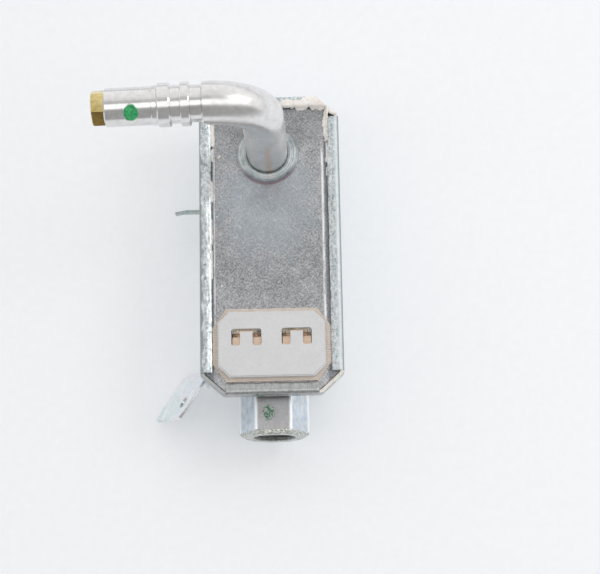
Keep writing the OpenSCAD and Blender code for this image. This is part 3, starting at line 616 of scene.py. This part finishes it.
def crimped_can():
    """The can as one skin of rings: back, walls, ledge, folded flaps or bare corners, and the inside."""
    samples = outline_samples(0.55)
    base = corners(0)
    quarter = [math.radians(a) for a in (0, 18, 36, 54, 72, 90)]
    shared = [(STEP + FOLD * (1 - math.sin(a)), FOLD * (1 - math.cos(a))) for a in quarter]
    shared += [(STEP, z) for z in (5, 10, 15, 20, LEDGE - 0.9, LEDGE - 0.45)]
    shared += [(1.08, LEDGE - 0.12), (0.8, LEDGE), (0.4, LEDGE + 0.02), (0.12, LEDGE + 0.16),
               (0, LEDGE + 0.5), (0, LEDGE + 1.4), (0, CAN_TOP - FOLD - 0.1)]
    lip = CAN_TOP - 0.5
    folded = [(FOLD * (1 - math.cos(math.radians(a))), CAN_TOP - FOLD * (1 - math.sin(math.radians(a))))
              for a in (18, 36, 54, 72, 88)]
    folded += [(2.0, CAN_TOP - 0.02), (2.3, CAN_TOP - 0.1), (2.6, CAN_TOP - 0.19), (2.9, CAN_TOP - 0.28),
               (3.2, CAN_TOP - 0.37), (3.45, CAN_TOP - 0.46), (3.68, CAN_TOP - 0.6), (3.8, CAN_TOP - 0.8),
               (3.82, CAN_TOP - 1.0), (3.7, CAN_TOP - 1.2), (3.4, CAN_TOP - 1.28), (2.4, CAN_TOP - 1.3),
               (1.5, CAN_TOP - 1.3)]
    bare = [(0, lip - 0.7), (0, lip - 0.45), (0.02, lip - 0.25), (0.1, lip - 0.1), (0.22, lip - 0.02),
            (0.36, lip), (0.5, lip), (0.62, lip), (0.74, lip), (0.86, lip), (0.96, lip - 0.02),
            (1.06, lip - 0.08), (1.14, lip - 0.2), (1.18, lip - 0.34), (SHEET, lip - 0.5),
            (SHEET, lip - 0.62), (SHEET, lip - 0.72), (SHEET, lip - 0.8)]
    inner = [(SHEET, CAN_TOP - 1.6), (SHEET, PLATE_TOP - 1.5), (STEP + SHEET, PLATE_TOP - 1.5),
             (STEP + SHEET, 12), (STEP + SHEET, SHEET + 0.3), (STEP + SHEET + 0.3, SHEET)]
    rings = [(r, r) for r in shared] + list(zip(folded, bare)) + [(r, r) for r in inner]
    first_fold, last_fold = len(shared), len(shared) + len(folded)
    vertices, faces = [], []
    for j, (fold_at, bare_at) in enumerate(rings):
        for sample in samples:
            hem = sample[0] == "side" and sample[1] % 2 == 0
            d, z = fold_at if hem else bare_at
            if hem and first_fold <= j < last_fold:
                i = sample[1]
                a, b = base[i], base[(i + 1) % 8]
                along = (b - a).normalized()
                at = a.lerp(b, sample[2])
                rough = min(1.0, max(0.0, (d - 0.9) / 1.2))
                wide = wave(at.x, at.y, 0, 3.2, 4.0) * 0.5 + wave(at.x, at.y, 0, 9.0, 1.0) * 0.6
                d += rough * 0.26 * wide + (0.1 * wave(at.x, at.y, d, 1.3, 9.0) if d > 3.3 else 0)
                p = at + Vector((-along.y, along.x)) * d
                if z > CAN_TOP - 1.1:
                    dents = 0.13 * wave(p.x, p.y, 0, 2.2, 2.0) + 0.07 * wave(p.x, p.y, 0, 0.9, 6.0)
                    z += rough * dents - 0.05 * rough
            else:
                lower = z < LEDGE - 0.05 or (j >= last_fold and d > STEP)
                p = outline_point(sample, d, CORNER_STEP - STEP if lower else 0.0)
                if lower:
                    p.y = max(p.y, d - STEP - END_WALL)
            vertices.append((p.x, p.y, min(z, CAN_TOP)))
    n = len(samples)
    for j in range(len(rings) - 1):
        for k in range(n):
            m = (k + 1) % n
            faces.append((j * n + k, j * n + m, (j + 1) * n + m, (j + 1) * n + k))
    faces.append(tuple(reversed(range(n))))
    faces.append(tuple(range((len(rings) - 1) * n, len(rings) * n)))
    can = add_piece("crimped_can", vertices, faces, looks["zinc_steel"], smooth_angle=60)
    can.data.materials.append(bare_edge("bare_edge", 0.75))
    for j in range(first_fold, last_fold):
        for k, sample in enumerate(samples):
            if not (sample[0] == "side" and sample[1] % 2 == 0) and rings[j][1][1] > lip - 0.3:
                can.data.polygons[j * n + k].material_index = 1
    cut_round(can, (0, SHEET / 2 - END_WALL, INLET_Z), (0, 1, 0), SHANK_HOLE_R, 6)
    cut_round(can, (0, SCREW_Y, 0), (0, 0, 1), SCREW_HOLE_R, 4)
    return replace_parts(can, "housing_pan")


def cut_round(piece, centre, axis, radius, length):
    """Cuts a round hole in a piece."""
    mesh = bpy.data.meshes.new("cutter")
    bm = bmesh.new()
    bmesh.ops.create_cone(bm, cap_ends=True, segments=48, radius1=radius * MM, radius2=radius * MM,
                          depth=length * MM)
    bm.to_mesh(mesh)
    bm.free()
    cutter = bpy.data.objects.new("cutter", mesh)
    bpy.context.scene.collection.objects.link(cutter)
    turned = Vector(axis).to_track_quat("Z", "Y").to_matrix().to_4x4()
    cutter.matrix_world = Matrix.Translation(Vector(centre) * MM) @ turned
    step = piece.modifiers.new("hole", "BOOLEAN")
    step.operation, step.object, step.solver = "DIFFERENCE", cutter, "EXACT"
    bpy.context.view_layer.update()
    made = bpy.data.meshes.new_from_object(piece.evaluated_get(bpy.context.evaluated_depsgraph_get()))
    piece.modifiers.clear()
    piece.data = made
    bpy.data.objects.remove(cutter)


# ---------------------------------------------------------------- sealant, put on by hand
def smear(name, strokes, floor_of, seed, cell=0.22):
    """Sealant pressed on with ragged edges. Strokes are (x0, y0, x1, y1, half width, height)."""
    pad = 1.5
    xs = [v for s in strokes for v in (s[0], s[2])]
    ys = [v for s in strokes for v in (s[1], s[3])]
    widest = max(s[4] for s in strokes) + pad
    x0, x1, y0, y1 = min(xs) - widest, max(xs) + widest, min(ys) - widest, max(ys) + widest
    nx, ny = int((x1 - x0) / cell) + 1, int((y1 - y0) / cell) + 1
    height = {}
    for i in range(nx):
        for j in range(ny):
            x, y = x0 + i * cell, y0 + j * cell
            best = 0.0
            for ax, ay, bx, by, half, high in strokes:
                vx, vy = bx - ax, by - ay
                length = vx * vx + vy * vy
                t = max(0, min(1, ((x - ax) * vx + (y - ay) * vy) / length)) if length else 0
                gap = math.hypot(x - ax - vx * t, y - ay - vy * t)
                edge = half * (1 + 0.34 * wave(x, y, 0, 1.9, seed) + 0.24 * wave(x, y, 0, 0.8, seed + 5))
                if gap < edge and on_can(x, y):
                    best = max(best, high * (1 - (gap / edge) ** 3) ** 0.5)
            if best > 0:
                lumps = 0.25 * wave(x, y, 0, 1.4, seed + 3)
                height[i, j] = best * (1 + lumps + 0.2 * wave(x, y, 0, 0.6, seed + 8))
    index, vertices, faces = {}, [], []

    def corner(i, j, top):
        inside = (i, j) in height
        key = (i, j, top and inside)
        if key not in index:
            x, y = x0 + i * cell, y0 + j * cell
            base = floor_of(x, y)
            z = base + (height[i, j] if top and inside else 0) - (0.05 if not (top and inside) else 0)
            index[key] = len(vertices)
            vertices.append((x, y, z))
        return index[key]

    cells_on = {(i, j) for i in range(nx - 1) for j in range(ny - 1)
                if sum((i + a, j + b) in height for a in (0, 1) for b in (0, 1)) >= 2}
    for i, j in cells_on:
        loop = ((i, j), (i + 1, j), (i + 1, j + 1), (i, j + 1))
        top = [corner(*c, True) for c in loop]
        low = [corner(*c, False) for c in reversed(loop)]
        faces.append(tuple(top))
        faces.append(tuple(low))
    for i, j in cells_on:
        for (a, b), (c, d), other in (((i, j), (i + 1, j), (i, j - 1)),
                                      ((i + 1, j), (i + 1, j + 1), (i + 1, j)),
                                      ((i + 1, j + 1), (i, j + 1), (i, j + 1)),
                                      ((i, j + 1), (i, j), (i - 1, j))):
            if other not in cells_on:
                side = [corner(a, b, False), corner(c, d, False), corner(c, d, True), corner(a, b, True)]
                kept = [v for k, v in enumerate(side) if v not in side[:k]]
                if len(kept) > 2:
                    faces.append(tuple(kept))
    piece = add_piece(name, vertices, faces, looks["sealant"], smooth_angle=80)
    bm = bmesh.new()
    bm.from_mesh(piece.data)
    for _ in range(2):
        bmesh.ops.smooth_vert(bm, verts=bm.verts, factor=0.5,
                              use_axis_x=True, use_axis_y=True, use_axis_z=True)
    bm.to_mesh(piece.data)
    bm.free()
    return piece


def on_can(x, y):
    """Whether a point is inside the can's outline, with a little room."""
    inward_x, inward_y = HALF_W - abs(x), HALF_L - abs(y)
    return min(inward_x, inward_y) > 0.4 and inward_x / CORNER_X + inward_y / CORNER_Y > 1.05


def seam_floor(x, y):
    """Height of the surface the sealant lies on: the cover inside the flaps, the flaps' tops outside."""
    inward = min(HALF_W - abs(x), HALF_L - abs(y))
    t = max(0.0, min(1.0, (HEM + 0.35 - inward) / 0.7))
    return PLATE_TOP + (CAN_TOP - 0.35 - PLATE_TOP) * t * t * (3 - 2 * t)


# ---------------------------------------------------------------- creped paper under the block
WINDOW = (14.2, 6.2)                    # half size of the opening round the block


def creped_sheet():
    """The paper with ragged edges, ridges on top and a window for the block."""
    low, high = box_mm("insulating_paper")
    half = (high - low)[:2] / 2
    middle = (high + low)[:2] / 2
    cut = (4.2, 5.8)                       # corner cuts along X and Y
    ring = [(cut[0] - half[0], -half[1]), (half[0] - cut[0], -half[1]), (half[0], cut[1] - half[1]),
            (half[0], half[1] - cut[1]), (half[0] - cut[0], half[1]), (cut[0] - half[0], half[1]),
            (-half[0], half[1] - cut[1]), (-half[0], cut[1] - half[1])]
    ring = [Vector(p) for p in ring]
    points, normals = [], []
    for i in range(8):
        a, b = ring[i], ring[(i + 1) % 8]
        along = (b - a).normalized()
        count = max(2, round((b - a).length / 0.16))
        for k in range(count):
            points.append(a.lerp(b, k / count))
            normals.append(Vector((-along.y, along.x)))
    vertices, faces = [], []
    inwards = [0.0, 0.0, 0.05] + [0.16 + 0.13 * k for k in range(20)]
    heights = [low[2], (low[2] + high[2]) / 2] + [high[2]] * 21
    for j, (inward, z) in enumerate(zip(inwards, heights)):
        for p, n in zip(points, normals):
            ragged = 0.09 * wave(p.x, p.y, 0, 0.5, 3.0) + 0.12 * wave(p.x, p.y, 0, 2.6, 7.0)
            ragged += 0.07 * abs(n.x) * math.sin(2 * math.pi * p.y / CREPE_PITCH)
            q = p + n * (inward + ragged * max(0, 1 - inward) + 0.12)
            if j >= 2:
                fold = math.sin(2 * math.pi * (q.y + 0.12 * wave(q.x, q.y, 0, 3.0)) / CREPE_PITCH)
                lift = 0.07 * fold + 0.05 * wave(q.x, q.y, 0, 1.1, 2.0) - 0.1
                top = z + lift - (0.08 if j == 2 else 0)
            else:
                top = z
            vertices.append((q.x + middle[0], q.y + middle[1], min(top, high[2])))
    for z in (high[2] - 0.05, low[2]):
        for p in points:
            reach = min(WINDOW[0] / max(abs(p.x), 1e-6), WINDOW[1] / max(abs(p.y), 1e-6))
            vertices.append((p.x * reach + middle[0], p.y * reach + middle[1], z))
    n, rows = len(points), len(inwards) + 2
    for j in range(rows):
        for k in range(n):
            m, up = (k + 1) % n, (j + 1) % rows
            faces.append((j * n + k, j * n + m, up * n + m, up * n + k))
    sheet = add_piece("creped_sheet", vertices, faces, looks["creped_paper"],
                      smooth_angle=50)
    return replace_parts(sheet, "insulating_paper")


# ---------------------------------------------------------------- pipe thread in the inlet
def pipe_thread():
    """One ridge wound down the inlet's bore, fading out at both ends."""
    low, high = box_mm("inlet_fitting")
    middle_z = (low[2] + high[2]) / 2
    pitch, turns, steps = 1.41, 6.6, 40    # pitch in mm, and points per turn
    start = low[1] + 0.95
    vertices, faces = [], []
    total = round(turns * steps)
    profile = [(5.9, -0.66), (5.3, -0.1), (5.3, 0.1), (5.9, 0.66)]
    for k in range(total + 1):
        turn = 2 * math.pi * k / steps
        ease = min(1.0, k / (0.4 * steps), (total - k) / (0.8 * steps))
        for r, along in profile:
            rr = 5.9 - (5.9 - r) * ease + 0.02 * wave(k * 0.1, r, along, 1.0)
            y = start + pitch * k / steps + along
            vertices.append((rr * math.cos(turn), y, middle_z + rr * math.sin(turn)))
    for k in range(total):
        for e in range(4):
            f = (e + 1) % 4
            faces.append((k * 4 + e, k * 4 + f, k * 4 + 4 + f, k * 4 + 4 + e))
    faces.append((0, 1, 2, 3))
    faces.append(tuple(total * 4 + e for e in (3, 2, 1, 0)))
    return add_piece("pipe_thread", vertices, faces, looks["inlet_steel"],
                     smooth_angle=25)


crimped_can()
creped_sheet()
pipe_thread()
eased("inlet_fitting", 0.45, segments=3)
eased("orifice_spud", 0.18)
eased("mounting_bracket", 0.24, segments=1, material=bracket_zinc(),
      edge_material=bare_edge("bracket_edge", 0.0))
eased("outlet_collar", 0.08)
eased("cover_plate", 0.12)
top_right = smear("sealant_top", [
    (5, 45.2, 13, 45.4, 1.3, 0.5), (12, 45.6, 18, 45.6, 1.7, 0.6), (14, 44.2, 17, 44.0, 0.9, 0.4),
    (17.5, 45.5, 20.6, 42.4, 1.3, 0.5), (9, 43.9, 12, 44.1, 0.6, 0.35)], seam_floor, 1.0)
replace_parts(top_right, "sealant_bead")
smear("sealant_right", [
    (18.3, 43, 17.6, 38, 0.8, 0.6), (17.6, 38, 18.0, 33, 0.55, 0.5), (18.1, 32, 18.0, 26, 0.3, 0.35),
    (18.0, 24, 18.0, 21.5, 0.25, 0.3)], seam_floor, 4.0)
smear("sealant_left", [
    (-18.4, 40, -17.4, 39.6, 0.8, 0.5), (-17.9, 39, -17.6, 32, 0.55, 0.6), (-17.7, 31, -17.9, 27, 0.3, 0.4),
    (-18.1, 20, -18.0, 14, 0.35, 0.35), (-18.2, 8, -18.1, 0, 0.25, 0.3),
    (-18.3, 0, -18.15, -11, 0.26, 0.3)], seam_floor, 9.0)
smear("sealant_crumbs", [
    (-15.9, 28.2, -15.5, 28.6, 0.4, 0.3), (16.6, 46.6, 16.9, 46.4, 0.4, 0.3),
    (-16.6, 9, -16.4, 8.8, 0.22, 0.2), (16.4, -14.5, 16.6, -14.7, 0.22, 0.2),
    (-15.3, -13.4, -15.2, -13.2, 0.2, 0.15)], seam_floor, 14.0, cell=0.12)


# ---------------------------------------------------------------- details of the terminal slots
BLOCK_TOP = box_mm("terminal_block")[1][2]
SLOT_X, SLOT_HALF, LEG, SLOT_END, SLOT_FAR = 7.7, 4.6, 2.7, -32.6, -27.4


def slot_fillets():
    """Small fills that round the ends of the slots' legs."""
    radius, steps, vertices, faces = 0.75, 6, [], []
    spots = []
    for centre in (-SLOT_X, SLOT_X):
        for side in (-1, 1):
            outer, inner = centre + side * SLOT_HALF, centre + side * (SLOT_HALF - LEG)
            spots += [(outer, SLOT_END, -side, 1), (inner, SLOT_END, side, 1), (outer, SLOT_FAR, -side, -1)]
    for x, y, sx, sy in spots:
        ring = [(x - 0.04 * sx, y - 0.04 * sy), (x + sx * radius, y - 0.04 * sy)]
        for k in range(steps + 1):
            turn = math.pi / 2 * k / steps
            ring.append((x + sx * radius * (1 - math.sin(turn)), y + sy * radius * (1 - math.cos(turn))))
        ring.append((x - 0.04 * sx, y + sy * radius))
        first = len(vertices)
        for z in (BLOCK_TOP - 1.6, BLOCK_TOP - 0.02):
            vertices += [(px, py, z) for px, py in ring]
        n = len(ring)
        faces.append(tuple(first + k for k in range(n)))
        faces.append(tuple(first + n + k for k in reversed(range(n))))
        faces += [(first + k, first + (k + 1) % n, first + n + (k + 1) % n, first + n + k) for k in range(n)]
    return add_piece("slot_fillets", vertices, faces, looks["white_ceramic"])


def contact_combs():
    """Toothed edges of the contacts, at the far end of each slot."""
    teeth, pitch, vertices, faces = 17, 0.52, [], []
    for centre in (-SLOT_X, SLOT_X):
        for k in range(teeth):
            x = centre + (k - (teeth - 1) / 2) * pitch
            in_bar = abs(x - centre) < SLOT_HALF - LEG
            low_y = SLOT_FAR - (0.5 if in_bar else 1.45)
            top = BLOCK_TOP - (0.5 if in_bar else 0.65) + 0.12 * wave(x, centre, 0, 0.7, 3.0)
            first = len(vertices)
            half = pitch * 0.36
            for y, z in ((low_y, top - 0.3), (low_y, top - 0.12), (SLOT_FAR - 0.5, top),
                         (SLOT_FAR - 0.02, top + 0.1), (SLOT_FAR - 0.02, top - 0.6)):
                vertices += [(x - half, y, z), (x + half, y, z)]
            for e in range(5):
                f = (e + 1) % 5
                faces.append((first + 2 * e, first + 2 * e + 1, first + 2 * f + 1, first + 2 * f))
            faces.append(tuple(first + 2 * e for e in range(5)))
            faces.append(tuple(first + 2 * e + 1 for e in reversed(range(5))))
    sooty = plain("sooty_contact", srgb(74, 66, 58), srgb(226, 216, 198), 0.42, (0.35, 0.5), 0.02, 0.7)
    return add_piece("contact_combs", vertices, faces, sooty)


slot_fillets()
contact_combs()


# ---------------------------------------------------------------- stage, light and camera
def floor():
    mesh = bpy.data.meshes.new("floor")
    half, low = 1.6, -0.0002
    sheet = [(-half, -half, low), (half, -half, low), (half, half, low), (-half, half, low)]
    mesh.from_pydata(sheet, [], [(0, 1, 2, 3)])
    piece = bpy.data.objects.new("floor", mesh)
    bpy.context.scene.collection.objects.link(piece)
    p = Paint("floor_paper", roughness=0.7, specular=0.3)
    grain = p.noise(3.0, 3, 0.5)
    # painted pool of light: the floor drawn brighter near the middle, falling off outwards; the floor also
    # glows, as a light table
    light_pool = p.ramp(p.vector("LENGTH", p.at), 250, 800, 1.0, 0.6, smooth=True)
    colour = p.colours(grain, (0.3, (0.64, 0.65, 0.665, 1)), (0.7, (0.655, 0.665, 0.68, 1)))
    colour = p.mix(1.0, colour, p.join(light_pool, light_pool, light_pool), "MULTIPLY")
    p.put(p.shader.inputs["Emission Color"], colour)
    finish_with(piece, p.done(colour, **{"Emission Strength": 0.45}))


def studio():
    """A white room with a wide soft light overhead and a dim side in front, as a world."""
    world = bpy.data.worlds.new("studio")
    bpy.context.scene.world = world
    world.use_nodes = True
    tree = world.node_tree
    tree.nodes.clear()

    def node(kind, *inputs, **settings):
        n = tree.nodes.new(kind)
        for key, v in settings.items():
            setattr(n, key, v)
        for socket, v in zip(n.inputs, inputs):
            if isinstance(v, bpy.types.NodeSocket):
                tree.links.new(v, socket)
            elif v is not None:
                socket.default_value = v
        return n.outputs[0]

    direction = tree.nodes.new("ShaderNodeTexCoord").outputs["Generated"]
    split = tree.nodes.new("ShaderNodeSeparateXYZ")
    tree.links.new(direction, split.inputs[0])
    x, y, z = split.outputs
    angle = node("ShaderNodeMath", y, z, operation="ARCTAN2")
    angle = node("ShaderNodeMath", angle, 2 * math.pi, operation="DIVIDE")
    angle = node("ShaderNodeMath", angle, 0.5, operation="ADD")
    ramp = tree.nodes.new("ShaderNodeValToRGB")
    tree.links.new(angle, ramp.inputs[0])
    # Brightness by angle in degrees: 0 is straight up, and above 0 leans towards the outlet end
    profile = [(-180, 0.9), (-95, 0.34), (-38, 0.34), (-31, 0.5), (-26, 1.15), (-2, 1.15), (2.5, 0.42),
               (6, 0.42), (9, 0.55), (20, 0.62), (35, 0.8), (60, 0.87), (180, 0.9)]
    band = ramp.color_ramp
    while len(band.elements) < len(profile):
        band.elements.new(0.5)
    for element, (degrees, level) in zip(band.elements, profile):
        element.position = degrees / 360 + 0.5
        element.color = (level, level, level, 1)
    side = node("ShaderNodeMapRange", x, -1.0, 1.0, 0.88, 1.1)
    reach = node("ShaderNodeMapRange", node("ShaderNodeMath", x, operation="ABSOLUTE"), 0.92, 0.99, 0.0, 1.0)
    wall = node("ShaderNodeMath", side, 0.8, operation="MULTIPLY")
    blended = tree.nodes.new("ShaderNodeMix")
    blended.data_type = "RGBA"
    tree.links.new(reach, blended.inputs[0])
    tree.links.new(ramp.outputs[0], blended.inputs[6])
    tree.links.new(wall, blended.inputs[7])
    background = tree.nodes.new("ShaderNodeBackground")
    tree.links.new(blended.outputs[2], background.inputs[0])
    background.inputs[1].default_value = 1.15
    output = tree.nodes.new("ShaderNodeOutputWorld")
    tree.links.new(background.outputs[0], output.inputs[0])


def soft_lamp(name, place, target, size, watts):
    data = bpy.data.lights.new(name, "AREA")
    data.shape = "DISK"
    data.size = size * MM
    data.energy = watts
    lamp = bpy.data.objects.new(name, data)
    bpy.context.scene.collection.objects.link(lamp)
    lamp.location = Vector(place) * MM
    lamp.rotation_euler = (Vector(target) - Vector(place)).to_track_quat("-Z", "Y").to_euler()


def camera():
    data = bpy.data.cameras.new("camera")
    data.sensor_width = 36.0
    data.lens = 106.1
    data.clip_start, data.clip_end = 0.01, 20
    piece = bpy.data.objects.new("camera", data)
    bpy.context.scene.collection.objects.link(piece)
    look, up = Vector((-0.0164, 0.2316, -0.9727)).normalized(), Vector((0.0231, 0.9726, 0.2312))
    right = look.cross(up).normalized()
    up = right.cross(look)
    turn = Matrix((right, up, -look)).transposed().to_4x4()
    piece.matrix_world = Matrix.Translation(Vector((17.9, -140.5, 557.2)) * MM) @ turn
    bpy.context.scene.camera = piece


floor()
studio()
soft_lamp("key", (520, 160, 520), (0, 0, 0), 300, 0.8)
camera()
bpy.context.scene.view_settings.view_transform = "Standard"
bpy.context.scene.view_settings.look = "None"

# ---------------------------------------------------------------- the end
bpy.context.view_layer.update()
